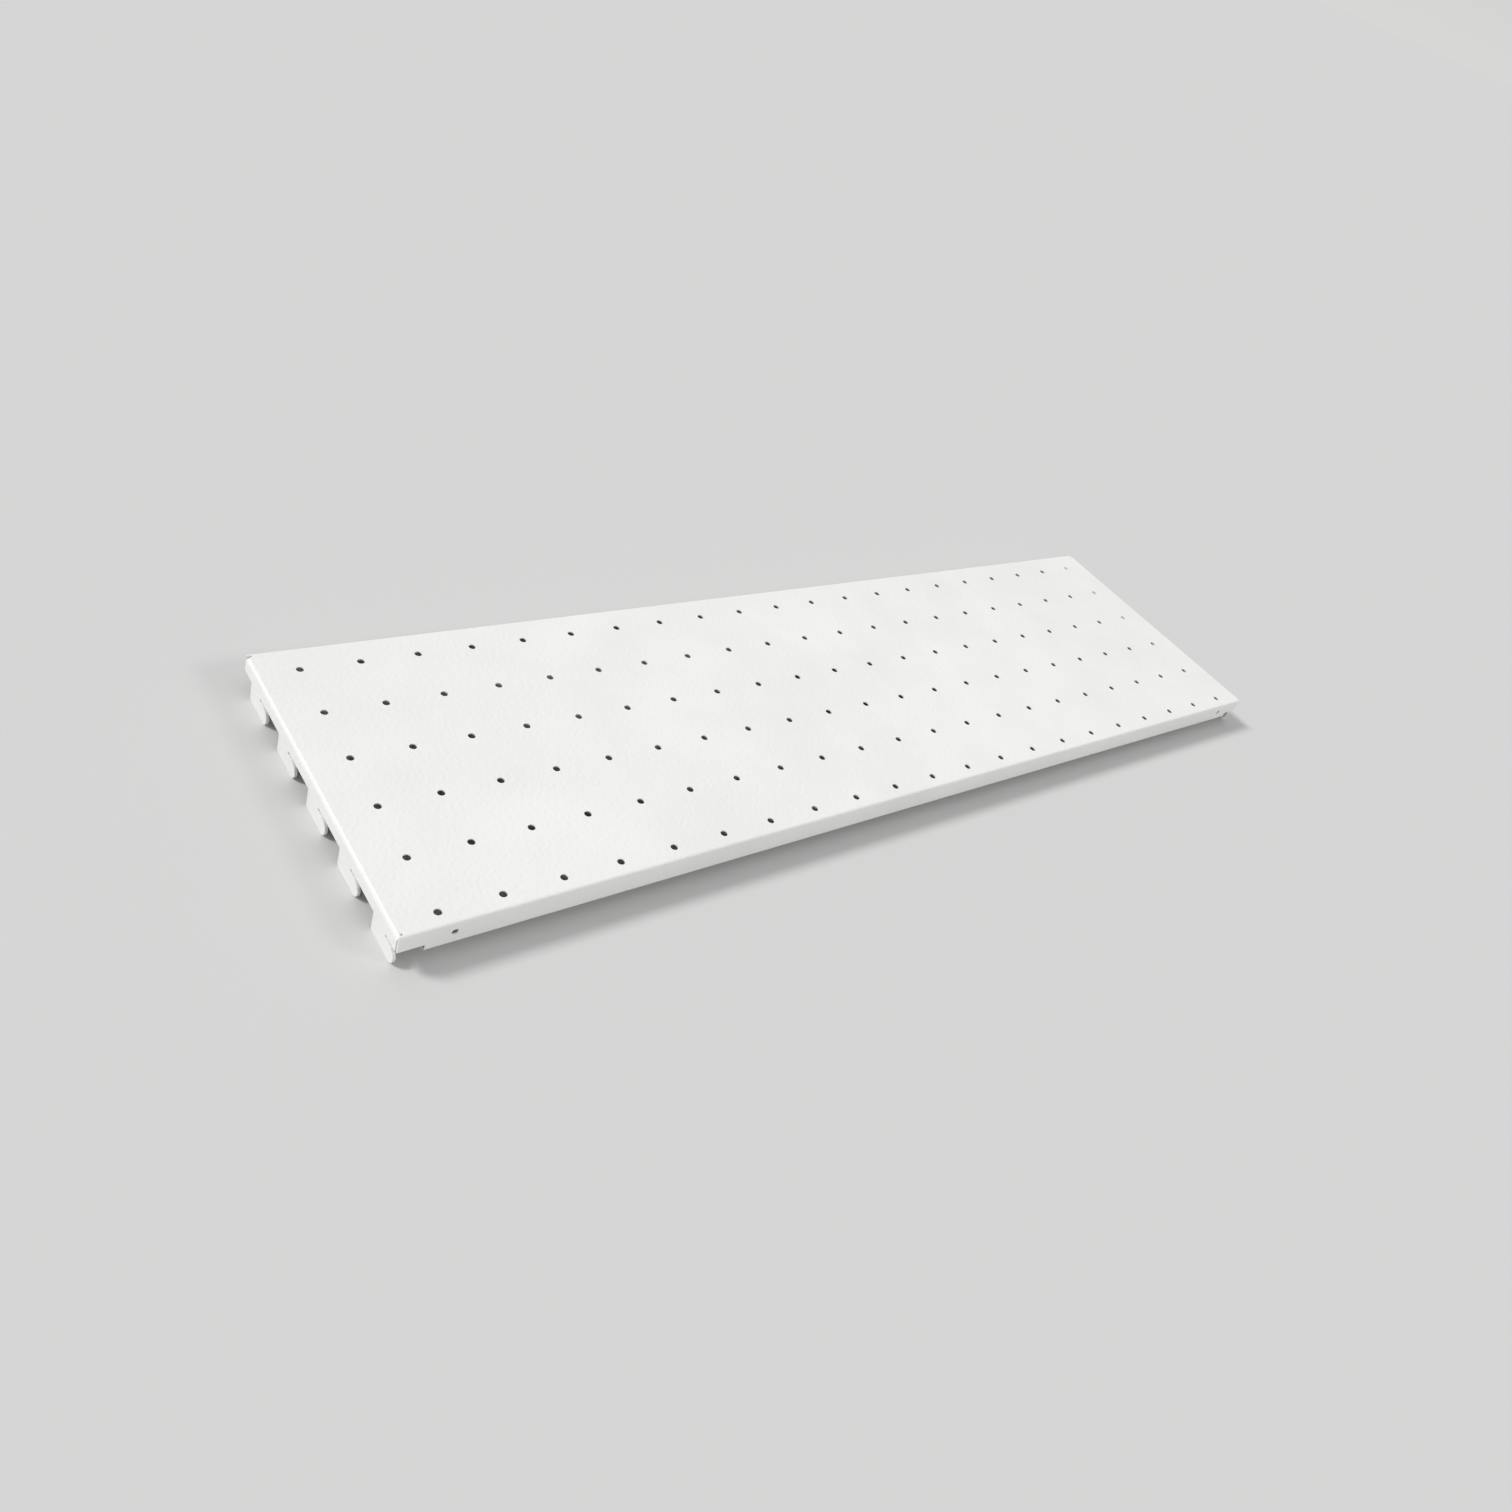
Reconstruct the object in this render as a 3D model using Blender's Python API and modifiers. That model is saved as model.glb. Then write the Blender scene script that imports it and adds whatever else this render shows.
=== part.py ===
"""Hook-in perforated back panel for a slotted-upright display stand.

A shallow sheet-steel tray lies face up. Its perforated face is folded down along both long edges, and a
hook rail is spot-welded under each short end. When the panel hangs, -Y points down: every hook opens
towards -Y and drops over the lower edge of a slot in the upright.

X runs along the panel, Y from its lower to its upper long edge, and Z out of the face. The origin is the
centre of the footprint, at the height of the lowest point of the hooks. Units are metres.
"""

import math

import bmesh
import bpy
from mathutils import Matrix, Vector

# Overall sizes, over the outside of the folded sheet and of the hook rails
PANEL_LENGTH = 0.862
PANEL_HEIGHT = 0.244
FACE_TO_HOOK_BOTTOM = 0.027

# Perforated face sheet
SHEET = 0.001
SHEET_INNER_BEND = 0.0008
FLANGE_DEPTH = 0.018
LIP_WIDTH = 0.0075
FLANGE_END_GAP = 0.0004
FACE_END_INSET = 0.0016
RELIEF_WIDTH = 0.0015
RELIEF_REACH = 0.0032

# Peg holes: pitch, diameter, and the margins that the pattern keeps to the panel's edges
HOLE_DIAMETER = 0.005
COLUMN_PITCH = 0.0402
ROW_PITCH = 0.0425
FIRST_COLUMN_MARGIN = 0.027
LAST_COLUMN_MARGIN = 0.027
FIRST_ROW_MARGIN = 0.0105
LAST_ROW_MARGIN = 0.0105
HOLE_SIDES = 12

# Locking holes in the lower flange
LOCK_HOLE_DIAMETER = 0.0042
LOCK_HOLE_FROM_END = 0.034
LOCK_HOLE_BELOW_FACE = 0.008
LOCK_HOLE_SIDES = 16

# Hook rails. The seat is the edge that bears on the upright's front; the flanges are notched to its level
RAIL_SHEET = 0.002
RAIL_INNER_BEND = 0.001
RAIL_TOP_FLANGE = 0.016
SEAT_DEPTH = 0.0125
SEAT_OVERLAP = 0.017
SLOT_PITCH = 0.050
TOP_HOOK_MARGIN = 0.013
HOOK_LENGTH = 0.029
HOOK_NECK = 0.0165
HOOK_SLOT = 0.0022
HOOK_HEEL_RADIUS = 0.002
THROAT_STRAIGHT = 0.0035
NOSE_BACK_LENGTH = 0.0055
NOSE_TIP_SHARE = 0.55

# Stiffener, a hat section on the middle line between two rows of holes
STIFFENER_SHEET = 0.001
STIFFENER_INNER_BEND = 0.001
STIFFENER_WEB = 0.014
STIFFENER_BRIM = 0.008
STIFFENER_DEPTH = 0.0105
STIFFENER_END_GAP = 0.002

# Clearances and fineness
WELD_GAP = 0.0003
BEND_STEPS = 3
ARC_STEPS = 6
CUT_OVERSHOOT = 0.005
MERGE_DISTANCE = 1e-6

# Which way a punch points, and the two ends of the panel
DOWN = Matrix.Identity(4)
SIDEWAYS = Matrix.Rotation(math.radians(90), 4, "X")
STANDING_ALONG_Y = Matrix.Rotation(math.radians(90), 4, "Z") @ Matrix.Rotation(math.radians(90), 4, "X")
ENDS = (("left", -1), ("right", 1))

# Levels and ends that follow from the sizes
FACE_TOP = FACE_TO_HOOK_BOTTOM
FACE_UNDERSIDE = FACE_TOP - SHEET
SEAT_LEVEL = FACE_TOP - SEAT_DEPTH
END_X = PANEL_LENGTH / 2
EDGE_Y = PANEL_HEIGHT / 2
SHEET_OUTER_BEND = SHEET + SHEET_INNER_BEND
RAIL_TOP = FACE_UNDERSIDE - WELD_GAP
RAIL_END_Y = EDGE_Y - SHEET_OUTER_BEND


def clear_scene():
    for obj in list(bpy.data.objects):
        bpy.data.objects.remove(obj, do_unlink=True)
    for collection in list(bpy.data.collections):
        bpy.data.collections.remove(collection)


def make_collection(name):
    collection = bpy.data.collections.new(name)
    bpy.context.scene.collection.children.link(collection)
    return collection


def powder_coat(name, colour):
    """Powder-coated steel: a polyester skin over the sheet, so it isn't metallic to the eye."""
    material = bpy.data.materials.new(name)
    material.use_nodes = True
    shader = material.node_tree.nodes["Principled BSDF"]
    shader.inputs["Base Color"].default_value = (*colour, 1.0)
    shader.inputs["Roughness"].default_value = 0.45
    shader.inputs["Metallic"].default_value = 0.0
    return material


def object_from_bmesh(shape, name, collection):
    bmesh.ops.recalc_face_normals(shape, faces=shape.faces)
    mesh = bpy.data.meshes.new(name)
    shape.to_mesh(mesh)
    shape.free()
    obj = bpy.data.objects.new(name, mesh)
    collection.objects.link(obj)
    return obj


def make_cutter(obj):
    obj.hide_render = True
    obj.display_type = "WIRE"
    return obj


def box_cutter(name, low, high):
    shape = bmesh.new()
    middle = (Vector(low) + Vector(high)) / 2
    size = Vector(high) - Vector(low)
    placed = Matrix.Translation(middle) @ Matrix.Diagonal((*size, 1.0))
    bmesh.ops.create_cube(shape, size=1.0, matrix=placed)
    return make_cutter(object_from_bmesh(shape, name, cutters))


def hole_cutter(name, centres, diameter, sides, direction):
    """One cutter that holds a round punch at each centre."""
    shape = bmesh.new()
    for centre in centres:
        placed = Matrix.Translation(centre) @ direction
        bmesh.ops.create_cone(
            shape,
            cap_ends=True,
            segments=sides,
            radius1=diameter / 2,
            radius2=diameter / 2,
            depth=2 * CUT_OVERSHOOT,
            matrix=placed,
        )
    return make_cutter(object_from_bmesh(shape, name, cutters))


def cut(obj, cutter):
    modifier = obj.modifiers.new(cutter.name, "BOOLEAN")
    modifier.operation = "DIFFERENCE"
    modifier.solver = "EXACT"
    modifier.object = cutter


def folded_sheet(name, length, profile, fold_radius, thickness, along):
    """A bent sheet: its outer skin is drawn by extruding an edge from fold to fold, each fold is rounded to
    its outer radius, and Solidify gives the skin its thickness on the inner side.

    profile holds the outer corners of the section, from one free edge to the other, and along is the axis
    that the sheet runs in, centred on the origin. The skin faces along x travel, the cross product of that
    axis and the direction in which the profile is walked.
    """
    shape = bmesh.new()
    offset = Vector(along) * length / 2
    corners = [Vector(point) for point in profile]
    edge = shape.edges.new([shape.verts.new(corners[0] - offset), shape.verts.new(corners[0] + offset)])
    folds = []
    for start, end in zip(corners, corners[1:]):
        made = bmesh.ops.extrude_edge_only(shape, edges=[edge])["geom"]
        moved = [item for item in made if isinstance(item, bmesh.types.BMVert)]
        bmesh.ops.translate(shape, verts=moved, vec=end - start)
        edge = shape.edges.get(moved)
        folds.append(edge)
    shape.normal_update()
    outward = Vector(along).cross(corners[1] - corners[0])
    shape.faces.ensure_lookup_table()
    if shape.faces[0].normal.dot(outward) < 0:
        bmesh.ops.reverse_faces(shape, faces=shape.faces)
    bmesh.ops.bevel(
        shape,
        geom=folds[:-1],
        offset=fold_radius,
        offset_type="OFFSET",
        segments=BEND_STEPS,
        profile=0.5,
        affect="EDGES",
    )
    mesh = bpy.data.meshes.new(name)
    shape.to_mesh(mesh)
    shape.free()
    obj = bpy.data.objects.new(name, mesh)
    panel.objects.link(obj)
    solidify = obj.modifiers.new("sheet thickness", "SOLIDIFY")
    solidify.thickness = thickness
    solidify.offset = -1.0
    solidify.use_even_offset = True
    return obj


def flat_outline(name, points, thickness):
    """A cutter of this thickness and outline, in its own XY plane: a filled 2D curve, made a mesh."""
    curve = bpy.data.curves.new(name, "CURVE")
    curve.dimensions = "2D"
    curve.fill_mode = "BOTH"
    curve.extrude = thickness / 2
    spline = curve.splines.new("POLY")
    spline.points.add(len(points) - 1)
    for point, (across, up) in zip(spline.points, points):
        point.co = (across, up, 0.0, 1.0)
    spline.use_cyclic_u = True
    guide = bpy.data.objects.new(name, curve)
    cutters.objects.link(guide)
    bpy.context.view_layer.update()
    graph = bpy.context.evaluated_depsgraph_get()
    shape = bmesh.new()
    shape.from_mesh(bpy.data.meshes.new_from_object(guide.evaluated_get(graph)))
    bpy.data.objects.remove(guide, do_unlink=True)
    bmesh.ops.remove_doubles(shape, verts=shape.verts, dist=MERGE_DISTANCE)
    return make_cutter(object_from_bmesh(shape, name, cutters))


def arc(centre, radii, start, end):
    """Points along an ellipse's arc in (Y, Z), its angles in degrees from +Y towards +Z."""
    angles = [math.radians(start + (end - start) * i / ARC_STEPS) for i in range(ARC_STEPS + 1)]
    return [(centre[0] + radii[0] * math.cos(a), centre[1] + radii[1] * math.sin(a)) for a in angles]


def count_that_fits(room, pitch):
    """How many items at this pitch fit between the first and the end of the room left for them."""
    return int(math.floor(room / pitch + 1e-6)) + 1


def peg_hole_columns():
    count = count_that_fits(PANEL_LENGTH - FIRST_COLUMN_MARGIN - LAST_COLUMN_MARGIN, COLUMN_PITCH)
    return [-END_X + FIRST_COLUMN_MARGIN + COLUMN_PITCH * i for i in range(count)]


def peg_hole_rows():
    count = count_that_fits(PANEL_HEIGHT - FIRST_ROW_MARGIN - LAST_ROW_MARGIN, ROW_PITCH)
    return [-EDGE_Y + FIRST_ROW_MARGIN + ROW_PITCH * i for i in range(count)]


def hook_heels():
    """The Y of each hook's heel, its upper side when the panel hangs, from the top hook down."""
    room = PANEL_HEIGHT - TOP_HOOK_MARGIN - HOOK_LENGTH - SHEET_OUTER_BEND
    return [EDGE_Y - TOP_HOOK_MARGIN - SLOT_PITCH * i for i in range(count_that_fits(room, SLOT_PITCH))]


def build_face_panel():
    """The perforated tray: a face and two long flanges with inward lips, punched and trimmed at its ends."""
    flange_bottom = FACE_TOP - FLANGE_DEPTH
    profile = [
        (0, -EDGE_Y + LIP_WIDTH, flange_bottom),
        (0, -EDGE_Y, flange_bottom),
        (0, -EDGE_Y, FACE_TOP),
        (0, EDGE_Y, FACE_TOP),
        (0, EDGE_Y, flange_bottom),
        (0, EDGE_Y - LIP_WIDTH, flange_bottom),
    ]
    length = PANEL_LENGTH - 2 * FLANGE_END_GAP
    obj = folded_sheet("face_panel", length, profile, SHEET_OUTER_BEND, SHEET, (1, 0, 0))

    peg_holes = [(x, y, FACE_TOP) for x in peg_hole_columns() for y in peg_hole_rows()]
    cut(obj, hole_cutter("peg_hole_punches", peg_holes, HOLE_DIAMETER, HOLE_SIDES, DOWN))
    lock_x = END_X - LOCK_HOLE_FROM_END
    lock_holes = [(x, -EDGE_Y, FACE_TOP - LOCK_HOLE_BELOW_FACE) for x in (-lock_x, lock_x)]
    cut(obj, hole_cutter("lock_hole_punches", lock_holes, LOCK_HOLE_DIAMETER, LOCK_HOLE_SIDES, SIDEWAYS))
    for side, sign in ENDS:
        for cutter in face_end_cutters(side, sign):
            cut(obj, cutter)
    return obj


def face_end_cutters(side, sign):
    """What is cut away at one end: the flanges where they cross the upright, a strip of the face so that its
    edge lands on the flat of the rail, and a relief slot beside each bend."""
    outside_y = EDGE_Y + CUT_OVERSHOOT
    bend_y = EDGE_Y - SHEET_OUTER_BEND
    below = FACE_TOP - FLANGE_DEPTH - CUT_OVERSHOOT
    above = FACE_TOP + CUT_OVERSHOOT

    def end_box(name, reach, y_range, z_range):
        x_range = sorted((sign * (END_X + CUT_OVERSHOOT), sign * (END_X - reach)))
        return box_cutter(side + name, *zip(x_range, y_range, z_range))

    return [
        end_box("_upright_notch", SEAT_OVERLAP, (-outside_y, outside_y), (below, SEAT_LEVEL)),
        end_box("_face_trim", FACE_END_INSET, (-bend_y, bend_y), (SEAT_LEVEL, above)),
        end_box("_lower_relief", RELIEF_REACH, (-bend_y, RELIEF_WIDTH - bend_y), (SEAT_LEVEL, above)),
        end_box("_upper_relief", RELIEF_REACH, (bend_y - RELIEF_WIDTH, bend_y), (SEAT_LEVEL, above)),
    ]


def hook_side(heel):
    """The opening side of one hook, from the slot's upper edge round the throat and the nose to below it."""
    slot_end = heel - HOOK_NECK
    slot_middle = SEAT_LEVEL - HOOK_SLOT / 2
    arm_top = SEAT_LEVEL - HOOK_SLOT
    nose = heel - HOOK_LENGTH
    throat = slot_end - HOOK_SLOT / 2 - THROAT_STRAIGHT
    tip_level = arm_top * NOSE_TIP_SHARE
    points = arc((slot_end - HOOK_SLOT / 2, slot_middle), (HOOK_SLOT / 2, HOOK_SLOT / 2), 90, -90)
    points += arc((throat, tip_level), (throat - nose, arm_top - tip_level), 90, 180)
    points += arc((nose + NOSE_BACK_LENGTH, tip_level), (NOSE_BACK_LENGTH, tip_level), 180, 270)[1:]
    return points + [(nose + NOSE_BACK_LENGTH, -CUT_OVERSHOOT)]


def heel_side(heel):
    """The plain side of one hook, from below it, round its heel and up to the seat level."""
    corner = heel - HOOK_HEEL_RADIUS
    points = [(corner, -CUT_OVERSHOOT)]
    points += arc((corner, HOOK_HEEL_RADIUS), (HOOK_HEEL_RADIUS, HOOK_HEEL_RADIUS), -90, 0)
    return points + [(heel, SEAT_LEVEL)]


def rail_gap_outlines():
    """The waste punched out along the rail's lower edge: before, between and behind the hooks."""
    heels = sorted(hook_heels())
    start, end = -EDGE_Y - CUT_OVERSHOOT, EDGE_Y + CUT_OVERSHOOT
    outlines = [[(start, -CUT_OVERSHOOT), (start, SEAT_LEVEL)] + hook_side(heels[0])]
    for heel, next_heel in zip(heels, heels[1:]):
        outlines.append(heel_side(heel) + hook_side(next_heel))
    outlines.append(heel_side(heels[-1]) + [(end, SEAT_LEVEL), (end, -CUT_OVERSHOOT)])
    return outlines


def build_hook_rail(side, sign):
    """An angle of thicker sheet: its top flange lies under the face, its plate ends in the row of hooks."""
    outer_x = sign * END_X
    profile = [(outer_x - sign * RAIL_TOP_FLANGE, 0, RAIL_TOP), (outer_x, 0, RAIL_TOP), (outer_x, 0, 0)]
    if sign > 0:
        profile.reverse()
    radius = RAIL_SHEET + RAIL_INNER_BEND
    obj = folded_sheet(side + "_hook_rail", 2 * RAIL_END_Y, profile, radius, RAIL_SHEET, (0, 1, 0))
    for index, outline in enumerate(rail_gap_outlines()):
        waste = flat_outline(side + "_rail_waste_" + str(index), outline, 2 * CUT_OVERSHOOT)
        waste.matrix_world = Matrix.Translation((outer_x, 0, 0)) @ STANDING_ALONG_Y
        cut(obj, waste)
    return obj


def build_stiffener():
    """A hat section whose brims are welded to the face, closed by it, between the two middle rows."""
    rows = peg_hole_rows()
    middle = rows[len(rows) // 2] - ROW_PITCH / 2
    length = PANEL_LENGTH - 2 * (RAIL_TOP_FLANGE + STIFFENER_END_GAP)
    top = FACE_UNDERSIDE - WELD_GAP
    web_level = top - STIFFENER_DEPTH
    half_web = STIFFENER_WEB / 2
    half_brim = half_web + STIFFENER_BRIM
    brim_level = top - STIFFENER_SHEET
    profile = [
        (0, middle + half_brim, brim_level),
        (0, middle + half_web, brim_level),
        (0, middle + half_web, web_level),
        (0, middle - half_web, web_level),
        (0, middle - half_web, brim_level),
        (0, middle - half_brim, brim_level),
    ]
    radius = STIFFENER_SHEET + STIFFENER_INNER_BEND
    return folded_sheet("centre_stiffener", length, profile, radius, STIFFENER_SHEET, (1, 0, 0))


clear_scene()
panel = make_collection("perforated_hook_panel")
cutters = make_collection("cutters")
origin = bpy.data.objects.new("panel_origin", None)
panel.objects.link(origin)
white = powder_coat("white_powder_coat", (0.86, 0.86, 0.85))
pieces = [build_face_panel(), build_stiffener()] + [build_hook_rail(side, sign) for side, sign in ENDS]
for piece in pieces:
    piece.data.materials.append(white)
    piece.parent = origin
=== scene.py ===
"""Looks of a hook-in perforated back panel for a slotted-upright display stand.

The panel is a folded steel tray with a hook rail spot-welded under each end and a hat-section stiffener
under its middle, all powder coated white after welding. It lies face up, standing on its hooks.
X runs along the panel, Y towards the edge that is on top when it hangs, and Z out of the face, in metres.
"""

import math

import bmesh
import bpy
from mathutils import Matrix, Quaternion, Vector


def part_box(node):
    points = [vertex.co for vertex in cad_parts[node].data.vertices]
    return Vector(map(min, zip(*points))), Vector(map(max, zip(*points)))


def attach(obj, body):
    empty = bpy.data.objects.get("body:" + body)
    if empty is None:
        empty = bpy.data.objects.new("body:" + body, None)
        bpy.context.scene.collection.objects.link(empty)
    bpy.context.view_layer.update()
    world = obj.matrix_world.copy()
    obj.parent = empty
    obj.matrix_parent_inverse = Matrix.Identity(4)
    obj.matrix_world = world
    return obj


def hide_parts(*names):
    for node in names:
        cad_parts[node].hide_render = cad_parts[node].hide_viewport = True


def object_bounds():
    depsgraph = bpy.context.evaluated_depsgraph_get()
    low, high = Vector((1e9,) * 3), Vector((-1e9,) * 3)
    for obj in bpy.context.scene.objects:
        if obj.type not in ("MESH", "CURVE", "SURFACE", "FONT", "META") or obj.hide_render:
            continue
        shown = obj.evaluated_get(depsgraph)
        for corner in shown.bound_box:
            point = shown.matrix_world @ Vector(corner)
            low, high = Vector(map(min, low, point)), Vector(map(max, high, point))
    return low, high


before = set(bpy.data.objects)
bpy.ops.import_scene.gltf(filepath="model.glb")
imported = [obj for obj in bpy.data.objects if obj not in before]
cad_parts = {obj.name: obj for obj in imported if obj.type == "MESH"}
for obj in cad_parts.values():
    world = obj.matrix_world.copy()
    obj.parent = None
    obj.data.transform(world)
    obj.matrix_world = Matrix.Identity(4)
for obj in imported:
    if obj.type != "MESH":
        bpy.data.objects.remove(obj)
cad_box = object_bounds()


# ---- Perforated face -------------------------------------------------------------------------------
# One tray of 1 mm cold-rolled steel: round peg holes are punched in the flat blank, both long edges are
# folded down with a return lip, and the ends are notched so that the tray's flanges clear the uprights.
# It is modelled as one punched cell, repeated over the face, with the folds spun from the face's edges.

SHEET = 0.001
FOLD_INSIDE_RADIUS = 0.0008
FOLD_RADIUS = SHEET + FOLD_INSIDE_RADIUS
FOLD_STEPS = 6
RETURN_LIP = 0.0075

PEG_HOLE_DIAMETER = 0.005
PEG_COLUMNS = 21
PEG_ROWS = 6
COLUMN_PITCH = 0.0402
ROW_PITCH = 0.0425
FIRST_COLUMN_MARGIN = 0.027
FIRST_ROW_MARGIN = 0.0105
CELL_SIDE_STEPS = 8

LOCK_HOLE_DIAMETER = 0.0042
LOCK_HOLE_FROM_END = 0.034
LOCK_HOLE_BELOW_FACE = 0.008

SEAT_DEPTH = 0.0125
UPRIGHT_OVERLAP = 0.017
FACE_END_INSET = 0.0016
RELIEF_WIDTH = 0.0015
RELIEF_REACH = 0.0032

SHEARED_EDGE_RADIUS = 0.00022
SHEARED_EDGE_STEPS = 2
SHARP_ANGLE = math.radians(40)
BIG_FACE_WEIGHT = 100
TOUCHING = 1e-5
PUNCH_LENGTH = 0.01
PUNCH_SIDES = 24

end_x = cad_box[1].x
edge_y = cad_box[1].y
face_top = cad_box[1].z
face_half_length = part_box("face_panel")[1].x
flange_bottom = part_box("face_panel")[0].z
seat_level = face_top - SEAT_DEPTH
fold_y = edge_y - FOLD_RADIUS


def deselect_everything():
    for thing in bpy.context.selected_objects:
        thing.select_set(False)


def settle(name):
    """Names the object in hand and moves its place, turn and scale into its mesh."""
    piece = bpy.context.object
    piece.name = piece.data.name = name
    bpy.ops.object.transform_apply(location=True, rotation=True, scale=True)
    return piece


def take(piece):
    """Makes this the only object selected, and the active one."""
    deselect_everything()
    piece.select_set(True)
    bpy.context.view_layer.objects.active = piece


def edit(piece):
    """Opens the piece's mesh with every point selected."""
    take(piece)
    bpy.ops.object.mode_set(mode="EDIT")
    bpy.ops.mesh.select_mode(type="VERT")
    bpy.ops.mesh.select_all(action="SELECT")


def leave_edit():
    bpy.ops.object.mode_set(mode="OBJECT")


def pick(kind, test):
    """In edit mode, selects only the points, edges or faces whose middle passes the test."""
    bpy.ops.mesh.select_mode(type=kind)
    bpy.ops.mesh.select_all(action="DESELECT")
    mesh = bpy.context.object.data
    shape = bmesh.from_edit_mesh(mesh)
    for item in {"VERT": shape.verts, "EDGE": shape.edges, "FACE": shape.faces}[kind]:
        corners = [item] if kind == "VERT" else item.verts
        if test(sum((corner.co for corner in corners), Vector()) / len(corners)):
            item.select_set(True)
    shape.select_flush_mode()
    bmesh.update_edit_mesh(mesh)


def near(value, target):
    return abs(value - target) < TOUCHING


def modify(piece, kind, **settings):
    """Adds a modifier with these settings and applies it."""
    take(piece)
    modifier = piece.modifiers.new(kind.lower(), kind)
    for name, value in settings.items():
        setattr(modifier, name, value)
    bpy.ops.object.modifier_apply(modifier=modifier.name)


def repeat(piece, count, step, **settings):
    """Copies the piece's mesh along a row."""
    modify(
        piece,
        "ARRAY",
        count=count,
        use_relative_offset=False,
        use_constant_offset=True,
        constant_offset_displace=step,
        **settings,
    )


def cut_away(piece, cutter):
    modify(piece, "BOOLEAN", operation="DIFFERENCE", solver="EXACT", object=cutter)
    bpy.data.objects.remove(cutter)


def box_between(corner, opposite):
    """A box from one corner to the opposite one, as a cutter."""
    corner, opposite = Vector(corner), Vector(opposite)
    size = [abs(side) for side in opposite - corner]
    deselect_everything()
    bpy.ops.mesh.primitive_cube_add(size=1, location=(corner + opposite) / 2, scale=size)
    return settle("end_cutter")


def ease_edges(piece, radius):
    """Rounds what the shear and the punch left sharp. Those strips take the second material."""
    modify(
        piece,
        "BEVEL",
        width=radius,
        segments=SHEARED_EDGE_STEPS,
        limit_method="ANGLE",
        angle_limit=SHARP_ANGLE,
        material=1,
    )


def smooth(piece):
    """Smooth shading that keeps the flats flat, because the big faces outweigh the narrow ones."""
    take(piece)
    bpy.ops.object.shade_smooth_by_angle(angle=SHARP_ANGLE)
    modify(piece, "WEIGHTED_NORMAL", keep_sharp=True, weight=BIG_FACE_WEIGHT)


# One cell: a rectangle of the peg grid bridged to the hole in its middle.
first_hole = Vector((FIRST_COLUMN_MARGIN - end_x, FIRST_ROW_MARGIN - edge_y, face_top))
deselect_everything()
bpy.ops.mesh.primitive_plane_add(size=1, location=first_hole)
bpy.context.object.scale = (COLUMN_PITCH, ROW_PITCH, 1)
face_panel = settle("perforated_face")
edit(face_panel)
bpy.ops.mesh.delete(type="ONLY_FACE")
bpy.ops.mesh.select_all(action="SELECT")
bpy.ops.mesh.subdivide(number_cuts=CELL_SIDE_STEPS - 1)
bpy.ops.mesh.primitive_circle_add(
    vertices=4 * CELL_SIDE_STEPS, radius=PEG_HOLE_DIAMETER / 2, fill_type="NOTHING", location=first_hole
)
bpy.ops.mesh.select_all(action="SELECT")
bpy.ops.mesh.bridge_edge_loops()
leave_edit()
for count, step in ((PEG_COLUMNS, (COLUMN_PITCH, 0, 0)), (PEG_ROWS, (0, ROW_PITCH, 0))):
    repeat(face_panel, count, step, use_merge_vertices=True, merge_threshold=TOUCHING)

# The grid is trimmed to the folds and drawn out to the ends of the tray.
edit(face_panel)
bpy.ops.mesh.bisect(plane_co=(0, fold_y, 0), plane_no=(0, 1, 0), clear_outer=True)
bpy.ops.mesh.select_all(action="SELECT")
bpy.ops.mesh.bisect(plane_co=(0, -fold_y, 0), plane_no=(0, -1, 0), clear_outer=True)
grid_ends = (
    first_hole.x - COLUMN_PITCH / 2,
    first_hole.x + COLUMN_PITCH * (PEG_COLUMNS - 0.5),
)
for grid_end, tray_end in zip(grid_ends, (-face_half_length, face_half_length)):
    pick("EDGE", lambda middle: near(middle.x, grid_end))
    bpy.ops.mesh.extrude_edges_move(TRANSFORM_OT_translate={"value": (tray_end - grid_end, 0, 0)})

# Each long edge is folded down into the flange, and the flange's edge in into the return lip.
for side in (-1, 1):
    quarter_turn = math.radians(90 * side)
    pick("EDGE", lambda middle: near(middle.y, side * fold_y) and near(middle.z, face_top))
    bpy.ops.mesh.spin(
        steps=FOLD_STEPS,
        angle=quarter_turn,
        center=(0, side * fold_y, face_top - FOLD_RADIUS),
        axis=(1, 0, 0),
    )
    flat = face_top - flange_bottom - 2 * FOLD_RADIUS
    bpy.ops.mesh.extrude_edges_move(TRANSFORM_OT_translate={"value": (0, 0, -flat)})
    bpy.ops.mesh.spin(
        steps=FOLD_STEPS,
        angle=quarter_turn,
        center=(0, side * fold_y, flange_bottom + FOLD_RADIUS),
        axis=(1, 0, 0),
    )
    inward = -side * (RETURN_LIP - FOLD_RADIUS)
    bpy.ops.mesh.extrude_edges_move(TRANSFORM_OT_translate={"value": (0, inward, 0)})
bpy.ops.mesh.select_all(action="SELECT")
bpy.ops.mesh.remove_doubles(threshold=TOUCHING)
bpy.ops.mesh.normals_make_consistent(inside=False)
leave_edit()

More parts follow.
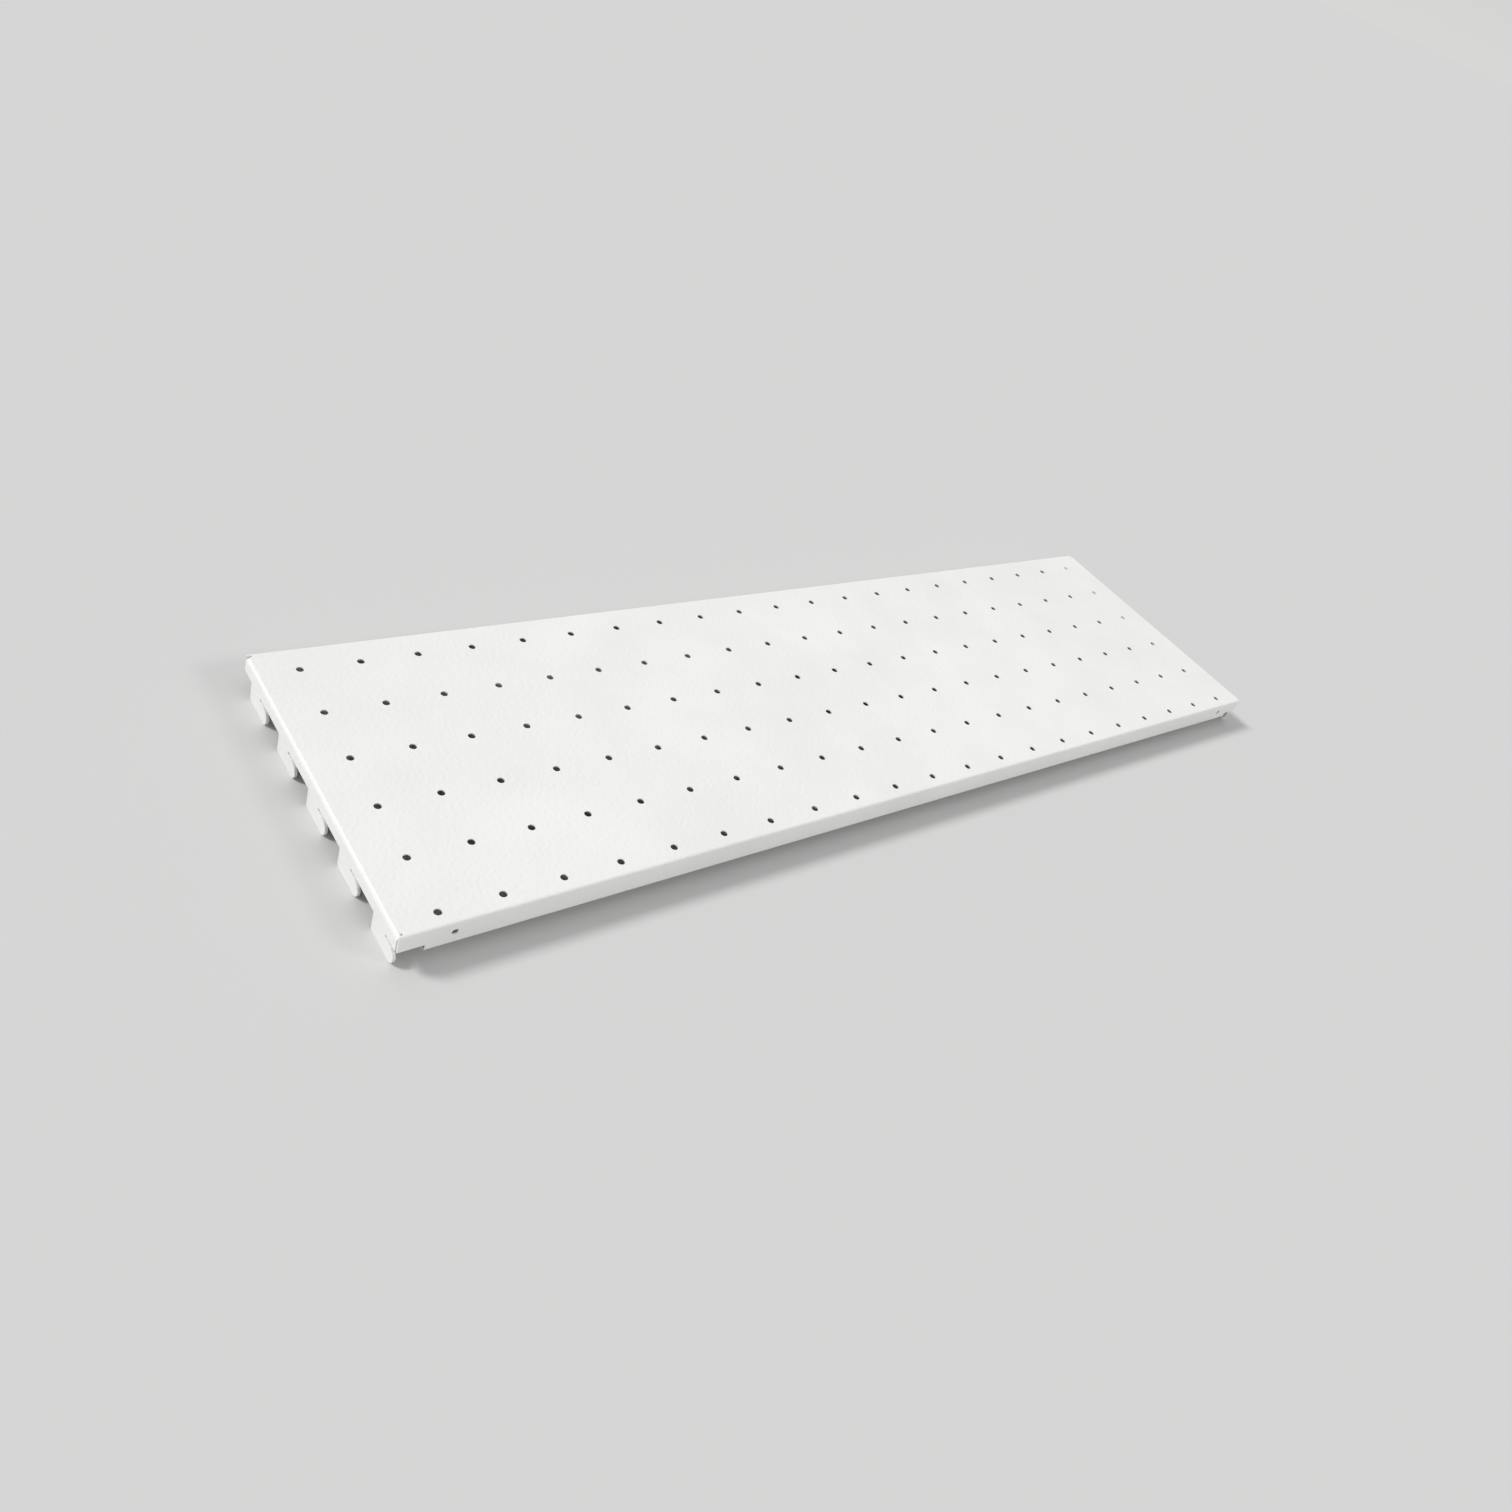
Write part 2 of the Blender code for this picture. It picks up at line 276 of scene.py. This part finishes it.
# The skin is given the sheet's thickness, then the finished tray is drilled, notched and trimmed.
modify(face_panel, "SOLIDIFY", thickness=SHEET, offset=-1, use_even_offset=True)
for side in (-1, 1):
    lock_hole = (side * (end_x - LOCK_HOLE_FROM_END), -edge_y, face_top - LOCK_HOLE_BELOW_FACE)
    deselect_everything()
    bpy.ops.mesh.primitive_cylinder_add(
        vertices=PUNCH_SIDES,
        radius=LOCK_HOLE_DIAMETER / 2,
        depth=PUNCH_LENGTH,
        location=lock_hole,
        rotation=(math.radians(90), 0, 0),
    )
    cut_away(face_panel, settle("lock_hole_drill"))
    tray_end = side * (face_half_length + PUNCH_LENGTH)
    notch_x = side * (end_x - UPRIGHT_OVERLAP)
    cut_away(face_panel, box_between((notch_x, -2 * edge_y, -face_top), (tray_end, 2 * edge_y, seat_level)))
    trim_x = side * (end_x - FACE_END_INSET)
    cut_away(face_panel, box_between((trim_x, -fold_y, seat_level), (tray_end, fold_y, 2 * face_top)))
    relief_x = side * (end_x - RELIEF_REACH)
    for fold in (-1, 1):
        outer_y, inner_y = fold * fold_y, fold * (fold_y - RELIEF_WIDTH)
        cut_away(face_panel, box_between((relief_x, inner_y, seat_level), (tray_end, outer_y, 2 * face_top)))
ease_edges(face_panel, SHEARED_EDGE_RADIUS)
smooth(face_panel)


# White polyester powder coat, smooth and semi-gloss: charged powder sprayed on the degreased steel and
# baked to a film of about 70 microns. It gives a clean neutral white with a faint orange-peel ripple,
# slightly uneven gloss where the film is thicker or thinner, and soft dull highlights.

COAT_WHITE = "F2F2F0"
COAT_WHITE_THICK = "F8F8F6"
COAT_WHITE_THIN = "EAEAE8"
THIN_EDGE_WHITE = "DCDCDA"
THIN_EDGE_GREY = "C2C3C4"
COAT_IOR = 1.5
COAT_ROUGHNESS = 0.42
COAT_GLOSSIEST = 0.36
COAT_DULLEST = 0.47
THIN_EDGE_ROUGHNESS = 0.34

# The ripple of a real film is 1 to 3 mm from crest to crest and some ten microns high. It is drawn at the
# wide end of that and many times as high, because it would not show at all from an arm's length.
ORANGE_PEEL_WAVE = 0.0030
ORANGE_PEEL_HEIGHT = 0.000400
# The spray gun passes every 70 mm or so, which leaves the film a little thicker and thinner by turns.
FILM_CLOUD = 0.070
# Gloss follows how the powder flowed out as it melted, in patches of about 18 mm.
GLOSS_CLOUD = 0.018
# Specks of dust under the film are a few tenths of a millimetre wide, drawn at 0.7 mm so that they show.
DUST_NIB = 0.0007
DUST_NIB_HEIGHT = 0.00003
DUST_NIB_SPACING = 0.0084
# Along a sheared edge the film draws back in runs of 4 or 5 mm.
EDGE_PATCH = 0.0045
# The part of a noise's range that a tone or a gloss runs over. Few points of a noise lie outside it.
NOISE_LOW = 0.3
NOISE_HIGH = 0.7
EDGE_NOISE_LOW = 0.35
EDGE_NOISE_HIGH = 0.62


def linear(hex_colour):
    """An sRGB hex colour as the linear RGBA that a shader socket takes."""
    parts = [int(hex_colour[i : i + 2], 16) / 255 for i in (0, 2, 4)]
    return [part / 12.92 if part <= 0.04045 else ((part + 0.055) / 1.055) ** 2.4 for part in parts] + [1]


def add_node(material, kind, settings=None, **sockets):
    """Adds a node, sets its properties, and fills or links its sockets, named with _ for a space."""
    tree = material.node_tree
    node = tree.nodes.new(kind)
    for name, value in (settings or {}).items():
        setattr(node, name, value)
    for name, value in sockets.items():
        socket = node.inputs[name.replace("_", " ")]
        if isinstance(value, bpy.types.NodeSocket):
            tree.links.new(value, socket)
        else:
            socket.default_value = value
    return node


def coated(name, roughness, seed):
    """A new material for a baked polyester film, with its shader and a place in it that the seed shifts."""
    material = bpy.data.materials.new(name)
    material.use_nodes = True
    shader = material.node_tree.nodes["Principled BSDF"]
    shader.inputs["IOR"].default_value = COAT_IOR
    shader.inputs["Metallic"].default_value = 0
    shader.inputs["Roughness"].default_value = roughness
    place = add_node(material, "ShaderNodeTexCoord").outputs["Object"]
    shifted = add_node(material, "ShaderNodeMapping", Vector=place, Location=(seed, 0, 0)).outputs["Vector"]
    return material, shader, shifted


def tint(material, shader, noise, low, high):
    """Colours the film by a noise, between two stops that are each a value of it and a colour."""
    film = add_node(material, "ShaderNodeValToRGB", Fac=noise.outputs["Fac"])
    for stop, (position, colour) in zip(film.color_ramp.elements, (low, high)):
        stop.position = position
        stop.color = linear(colour)
    material.node_tree.links.new(film.outputs["Color"], shader.inputs["Base Color"])


def powder_coat(name, thick, thin, seed):
    """The film on the flats: colour and gloss drift over the sheet, and the surface ripples."""
    material, shader, place = coated(name, COAT_ROUGHNESS, seed)
    cloud = add_node(
        material, "ShaderNodeTexNoise", Vector=place, Scale=1 / FILM_CLOUD, Detail=3.0, Roughness=0.5
    )
    tint(material, shader, cloud, (NOISE_LOW, thin), (NOISE_HIGH, thick))

    gloss = add_node(
        material, "ShaderNodeTexNoise", Vector=place, Scale=1 / GLOSS_CLOUD, Detail=5.0, Roughness=0.6
    )
    roughness = add_node(
        material,
        "ShaderNodeMapRange",
        Value=gloss.outputs["Fac"],
        From_Min=NOISE_LOW,
        From_Max=NOISE_HIGH,
        To_Min=COAT_GLOSSIEST,
        To_Max=COAT_DULLEST,
    )
    material.node_tree.links.new(roughness.outputs["Result"], shader.inputs["Roughness"])

    peel = add_node(
        material, "ShaderNodeTexNoise", Vector=place, Scale=1 / ORANGE_PEEL_WAVE, Detail=1.0, Roughness=0.4
    )
    ripple = add_node(
        material, "ShaderNodeBump", Height=peel.outputs["Fac"], Distance=ORANGE_PEEL_HEIGHT, Strength=1.0
    )
    nibs = add_node(material, "ShaderNodeTexVoronoi", Vector=place, Scale=1 / DUST_NIB_SPACING)
    nib = add_node(
        material,
        "ShaderNodeMapRange",
        Value=nibs.outputs["Distance"],
        From_Min=0.0,
        From_Max=DUST_NIB / 2 / DUST_NIB_SPACING,
        To_Min=1.0,
        To_Max=0.0,
    )
    bumps = add_node(
        material,
        "ShaderNodeBump",
        Height=nib.outputs["Result"],
        Distance=DUST_NIB_HEIGHT,
        Strength=1.0,
        Normal=ripple.outputs["Normal"],
    )
    material.node_tree.links.new(bumps.outputs["Normal"], shader.inputs["Normal"])
    return material


def thin_coat_on_sheared_edge(name, seed):
    """Molten powder draws back from a sharp edge, so the film there is thin: greyer and a bit glossier."""
    material, shader, place = coated(name, THIN_EDGE_ROUGHNESS, seed)
    patches = add_node(
        material, "ShaderNodeTexNoise", Vector=place, Scale=1 / EDGE_PATCH, Detail=4.0, Roughness=0.6
    )
    tint(material, shader, patches, (EDGE_NOISE_LOW, THIN_EDGE_GREY), (EDGE_NOISE_HIGH, THIN_EDGE_WHITE))
    return material


def coat(piece, materials):
    piece.data.materials.clear()
    for material in materials:
        piece.data.materials.append(material)


white_coat = powder_coat("white_polyester_powder_coat", COAT_WHITE_THICK, COAT_WHITE, seed=0.0)
white_edge = thin_coat_on_sheared_edge("thin_powder_coat_on_sheared_edge", seed=3.0)
coat(face_panel, (white_coat, white_edge))
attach(face_panel, "root")
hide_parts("face_panel")


# ---- Hook rails ------------------------------------------------------------------------------------
# One under each end of the face: an angle of 2 mm steel whose flange is spot-welded to the face and whose
# plate is laser-cut into a row of hooks. Hung, each hook drops over the lower edge of a slot in the upright,
# whose wall the narrow slot takes. The outline is drawn by walking a point, filled, folded and thickened.

RAIL_SHEET = 0.002
RAIL_INSIDE_RADIUS = 0.001
RAIL_FOLD_RADIUS = RAIL_SHEET + RAIL_INSIDE_RADIUS
RAIL_FLANGE_CORNER = 0.003
HOOKS = 5
HOOK_PITCH = 0.050
TOP_HOOK_MARGIN = 0.013
HOOK_LENGTH = 0.029
HOOK_NECK = 0.0165
HOOK_SLOT = 0.0022
HOOK_HEEL_RADIUS = 0.002
THROAT_STRAIGHT = 0.0035
NOSE_BACK_LENGTH = 0.0055
NOSE_TIP_SHARE = 0.55
CURVE_STEPS = 10
CUT_EDGE_RADIUS = 0.0003

WELDS_ON_RAIL = 6
WELD_DENT_RADIUS = 0.0026
WELD_DENT_DEPTH = 0.00018
WELD_BALL_HALF_HEIGHT = 0.001
WELD_BALL_SEGMENTS = 28
WELD_BALL_RINGS = 18
WELD_FROM_RAIL_END = 0.020

rail_low, rail_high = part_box("left_hook_rail")
rail_x = rail_low.x
rail_fold_z = rail_high.z - RAIL_FOLD_RADIUS
rail_flange = rail_high.x - rail_low.x
arm_top = seat_level - HOOK_SLOT
nose_tip = arm_top * NOSE_TIP_SHARE


def start_outline(name, y, z):
    """A single point to draw from: a small plane merged at its centre."""
    deselect_everything()
    bpy.ops.mesh.primitive_plane_add(size=TOUCHING, location=(rail_x, y, z))
    piece = settle(name)
    edit(piece)
    bpy.ops.mesh.merge(type="CENTER")
    return piece


def draw(along, up):
    """Draws a straight edge from the point in hand."""
    bpy.ops.mesh.extrude_vertices_move(TRANSFORM_OT_translate={"value": (0, along, up)})


def sweep(centre_y, centre_z, degrees, wide=1, tall=1):
    """Draws an arc from the point in hand round a centre, stretched where it is part of an ellipse."""
    centre = (rail_x, centre_y, centre_z)
    mesh = bpy.context.object.data
    drawn = {point.co.to_tuple() for point in bmesh.from_edit_mesh(mesh).verts}
    bpy.ops.mesh.spin(steps=CURVE_STEPS, angle=math.radians(-degrees), center=centre, axis=(1, 0, 0))
    points = bmesh.from_edit_mesh(mesh).verts
    points.index_update()
    in_hand = [point.index for point in points if point.select]
    for point in points:
        point.select_set(point.co.to_tuple() not in drawn)
    bpy.ops.transform.resize(value=(1, wide, tall), center_override=centre)
    for point in bmesh.from_edit_mesh(mesh).verts:
        point.select_set(point.index in in_hand)


def draw_hook(heel):
    """One hook, from the seat down its heel, under it, up round the nose and back along the slot."""
    nose = heel - HOOK_LENGTH
    throat = heel - HOOK_NECK - HOOK_SLOT / 2 - THROAT_STRAIGHT
    draw(0, HOOK_HEEL_RADIUS - seat_level)
    sweep(heel - HOOK_HEEL_RADIUS, HOOK_HEEL_RADIUS, -90)
    draw(HOOK_HEEL_RADIUS + NOSE_BACK_LENGTH - HOOK_LENGTH, 0)
    sweep(nose + NOSE_BACK_LENGTH, nose_tip, -90, wide=NOSE_BACK_LENGTH / nose_tip)
    sweep(throat, nose_tip, -90, tall=(arm_top - nose_tip) / (throat - nose))
    draw(THROAT_STRAIGHT, 0)
    sweep(heel - HOOK_NECK - HOOK_SLOT / 2, seat_level - HOOK_SLOT / 2, 180)


top_heel = edge_y - TOP_HOOK_MARGIN
left_rail = start_outline("left_rail_with_hooks", top_heel, seat_level)
for hook in range(HOOKS):
    draw_hook(top_heel - hook * HOOK_PITCH)
    if hook < HOOKS - 1:
        draw(HOOK_NECK + HOOK_SLOT / 2 - HOOK_PITCH, 0)
last_slot = top_heel - (HOOKS - 1) * HOOK_PITCH - HOOK_NECK - HOOK_SLOT / 2
draw(rail_low.y - last_slot, 0)
draw(0, rail_fold_z - seat_level)
draw(rail_high.y - rail_low.y, 0)
draw(0, seat_level - rail_fold_z)
draw(top_heel - rail_high.y, 0)
bpy.ops.mesh.select_all(action="SELECT")
bpy.ops.mesh.remove_doubles(threshold=TOUCHING)
bpy.ops.mesh.edge_face_add()

# The plate's upper edge is folded over into the flange, whose free corners are rounded.
pick("EDGE", lambda middle: near(middle.z, rail_fold_z) and near(middle.y, 0))
bpy.ops.mesh.spin(
    steps=FOLD_STEPS,
    angle=math.radians(-90),
    center=(rail_x + RAIL_FOLD_RADIUS, 0, rail_fold_z),
    axis=(0, 1, 0),
)
bpy.ops.mesh.extrude_edges_move(TRANSFORM_OT_translate={"value": (rail_flange - RAIL_FOLD_RADIUS, 0, 0)})
pick("VERT", lambda point: near(point.x, rail_high.x))
bpy.ops.mesh.bevel(affect="VERTICES", offset=RAIL_FLANGE_CORNER, segments=CURVE_STEPS)
bpy.ops.mesh.select_all(action="SELECT")
bpy.ops.mesh.normals_make_consistent(inside=False)
leave_edit()


def press_weld_dents(piece, first, step, count, radius):
    """Shallow round dents that the welding electrodes leave on an underside, cut by flattened balls."""
    ball_below = WELD_BALL_HALF_HEIGHT - WELD_DENT_DEPTH
    ball_radius = radius / math.sqrt(1 - (ball_below / WELD_BALL_HALF_HEIGHT) ** 2)
    deselect_everything()
    bpy.ops.mesh.primitive_uv_sphere_add(
        segments=WELD_BALL_SEGMENTS,
        ring_count=WELD_BALL_RINGS,
        radius=1,
        location=Vector(first) - Vector((0, 0, ball_below)),
    )
    bpy.context.object.scale = (ball_radius, ball_radius, WELD_BALL_HALF_HEIGHT)
    balls = settle("electrode_balls")
    repeat(balls, count, step)
    cut_away(piece, balls)


modify(left_rail, "SOLIDIFY", thickness=RAIL_SHEET, offset=-1, use_even_offset=True)
ease_edges(left_rail, CUT_EDGE_RADIUS)
flange_middle = (rail_x + RAIL_FOLD_RADIUS + rail_high.x) / 2
weld_pitch = 2 * (rail_high.y - WELD_FROM_RAIL_END) / (WELDS_ON_RAIL - 1)
first_weld = (flange_middle, rail_low.y + WELD_FROM_RAIL_END, rail_high.z - RAIL_SHEET)
press_weld_dents(left_rail, first_weld, (0, weld_pitch, 0), WELDS_ON_RAIL, WELD_DENT_RADIUS)

# The right rail is the same part mirrored.
take(left_rail)
bpy.ops.object.duplicate(linked=False)
bpy.context.object.scale = (-1, 1, 1)
right_rail = settle("right_rail_with_hooks")
edit(right_rail)
bpy.ops.mesh.normals_make_consistent(inside=False)
leave_edit()

rail_coat = powder_coat("white_powder_coat_on_laser_cut_rail", COAT_WHITE_THICK, COAT_WHITE, seed=7.0)
for rail, node in ((left_rail, "left_hook_rail"), (right_rail, "right_hook_rail")):
    smooth(rail)
    coat(rail, (rail_coat, white_edge))
    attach(rail, "root")
    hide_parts(node)


# ---- Centre stiffener ------------------------------------------------------------------------------
# A hat section of 1 mm steel along the middle of the tray, between two rows of holes. Its brims are
# spot-welded to the underside of the face, so that the long sheet doesn't sag or drum.

STIFFENER_SHEET = 0.001
STIFFENER_INSIDE_RADIUS = 0.001
STIFFENER_WEB = 0.014
STIFFENER_WELDS = 11
STIFFENER_WELD_FROM_END = 0.018
STIFFENER_DENT_RADIUS = 0.0018
STIFFENER_EDGE_RADIUS = 0.0002

hat_low, hat_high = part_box("centre_stiffener")
hat_middle = (hat_low.y + hat_high.y) / 2
hat_length = hat_high.x - hat_low.x
brim_width = (hat_high.y - hat_low.y - STIFFENER_WEB) / 2
brim_underside = hat_high.z - STIFFENER_SHEET

deselect_everything()
bpy.ops.mesh.primitive_plane_add(size=1, location=(0, hat_middle, hat_low.z))
bpy.context.object.scale = (hat_length, STIFFENER_WEB, 1)
stiffener = settle("hat_section_stiffener")
edit(stiffener)
for side in (-1, 1):
    web_edge = hat_middle + side * STIFFENER_WEB / 2
    pick("EDGE", lambda middle: near(middle.y, web_edge) and near(middle.z, hat_low.z))
    bpy.ops.mesh.extrude_edges_move(TRANSFORM_OT_translate={"value": (0, 0, brim_underside - hat_low.z)})
    bpy.ops.mesh.extrude_edges_move(TRANSFORM_OT_translate={"value": (0, side * brim_width, 0)})
outer_radius = STIFFENER_SHEET + STIFFENER_INSIDE_RADIUS
for level, radius in ((hat_low.z, outer_radius), (brim_underside, STIFFENER_INSIDE_RADIUS)):
    pick(
        "EDGE",
        lambda middle: near(middle.x, 0)
        and near(abs(middle.y - hat_middle), STIFFENER_WEB / 2)
        and near(middle.z, level),
    )
    bpy.ops.mesh.bevel(affect="EDGES", offset=radius, segments=FOLD_STEPS, profile=0.5)
bpy.ops.mesh.select_all(action="SELECT")
bpy.ops.mesh.normals_make_consistent(inside=False)
pick("FACE", lambda middle: near(middle.z, hat_low.z))
leave_edit()
web = next(face for face in stiffener.data.polygons if face.select)
if web.normal.z > 0:
    edit(stiffener)
    bpy.ops.mesh.flip_normals()
    leave_edit()
modify(stiffener, "SOLIDIFY", thickness=STIFFENER_SHEET, offset=-1, use_even_offset=True)
ease_edges(stiffener, STIFFENER_EDGE_RADIUS)
weld_pitch = (hat_length - 2 * STIFFENER_WELD_FROM_END) / (STIFFENER_WELDS - 1)
for side in (-1, 1):
    brim_middle = hat_middle + side * (STIFFENER_WEB + STIFFENER_INSIDE_RADIUS + brim_width) / 2
    first_weld = (hat_low.x + STIFFENER_WELD_FROM_END, brim_middle, brim_underside)
    press_weld_dents(stiffener, first_weld, (weld_pitch, 0, 0), STIFFENER_WELDS, STIFFENER_DENT_RADIUS)
smooth(stiffener)
inner_coat = powder_coat("thin_white_powder_coat_in_recess", COAT_WHITE, COAT_WHITE_THIN, seed=11.0)
coat(stiffener, (inner_coat, white_edge))
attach(stiffener, "root")
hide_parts("centre_stiffener")


# ---- Studio ----------------------------------------------------------------------------------------
# A matt pale floor that runs past the horizon, an even dome whose horizon has the floor's own tone, and two
# broad lights: a key from behind the left end, and a weak fill from the front right.

FLOOR_SIDE = 400.0
FLOOR_TONE = "D8D8D7"
HORIZON_TONE = "D7D7D6"
DOME_TONE = "BBBBBC"
HORIZON_SOFTNESS = 0.35
KEY_FROM = (-0.60, 0.42, 0.68)
KEY_STRENGTH = 1.8
FILL_FROM = (0.55, -0.65, 0.6)
FILL_STRENGTH = 0.45
LIGHT_SPREAD = math.radians(14)

deselect_everything()
bpy.ops.mesh.primitive_plane_add(size=FLOOR_SIDE, location=(0, 0, cad_box[0].z))
floor = settle("studio_floor")
floor_paint = bpy.data.materials.new("matt_studio_floor")
floor_paint.use_nodes = True
floor_shader = floor_paint.node_tree.nodes["Principled BSDF"]
floor_shader.inputs["Base Color"].default_value = linear(FLOOR_TONE)
floor_shader.inputs["Roughness"].default_value = 1
floor_shader.inputs["Specular IOR Level"].default_value = 0
coat(floor, (floor_paint,))

dome = bpy.data.worlds.new("even_studio_dome")
dome.use_nodes = True
direction = add_node(dome, "ShaderNodeTexCoord").outputs["Generated"]
height = add_node(dome, "ShaderNodeSeparateXYZ", Vector=direction).outputs["Z"]
tones = add_node(dome, "ShaderNodeValToRGB", Fac=height)
tones.color_ramp.elements[0].color = linear(HORIZON_TONE)
tones.color_ramp.elements[1].position = HORIZON_SOFTNESS
tones.color_ramp.elements[1].color = linear(DOME_TONE)
dome.node_tree.links.new(tones.outputs["Color"], dome.node_tree.nodes["Background"].inputs["Color"])
bpy.context.scene.world = dome
bpy.context.scene.view_settings.view_transform = "Standard"

for name, toward, strength in (
    ("key_light", KEY_FROM, KEY_STRENGTH),
    ("fill_light", FILL_FROM, FILL_STRENGTH),
):
    bpy.ops.object.light_add(type="SUN", location=toward)
    lamp = bpy.context.object
    lamp.name = name
    lamp.rotation_euler = Vector(toward).to_track_quat("Z", "Y").to_euler()
    lamp.data.energy = strength
    lamp.data.angle = LIGHT_SPREAD


# ---- Camera ----------------------------------------------------------------------------------------
# It stands off the near left corner, looking down along the panel, and is rolled so that the panel climbs
# to the right. The lens is a little wide, so that the far end is clearly the smaller one.

CAMERA_PLACE = (-0.65647, -0.48116, 0.54896)
CAMERA_AIM = (-0.1346, -0.0536, 0.027)
CAMERA_ROLL = math.radians(23.87)
CAMERA_LENS = 28.39
CAMERA_SENSOR = 36

deselect_everything()
bpy.ops.object.camera_add(location=CAMERA_PLACE)
camera = bpy.context.object
look = (Vector(CAMERA_AIM) - Vector(CAMERA_PLACE)).to_track_quat("-Z", "Y")
camera.rotation_euler = (look @ Quaternion((0, 0, 1), CAMERA_ROLL)).to_euler()
camera.data.sensor_width = CAMERA_SENSOR
camera.data.lens = CAMERA_LENS
camera.data.clip_end = 2 * FLOOR_SIDE
bpy.context.scene.camera = camera
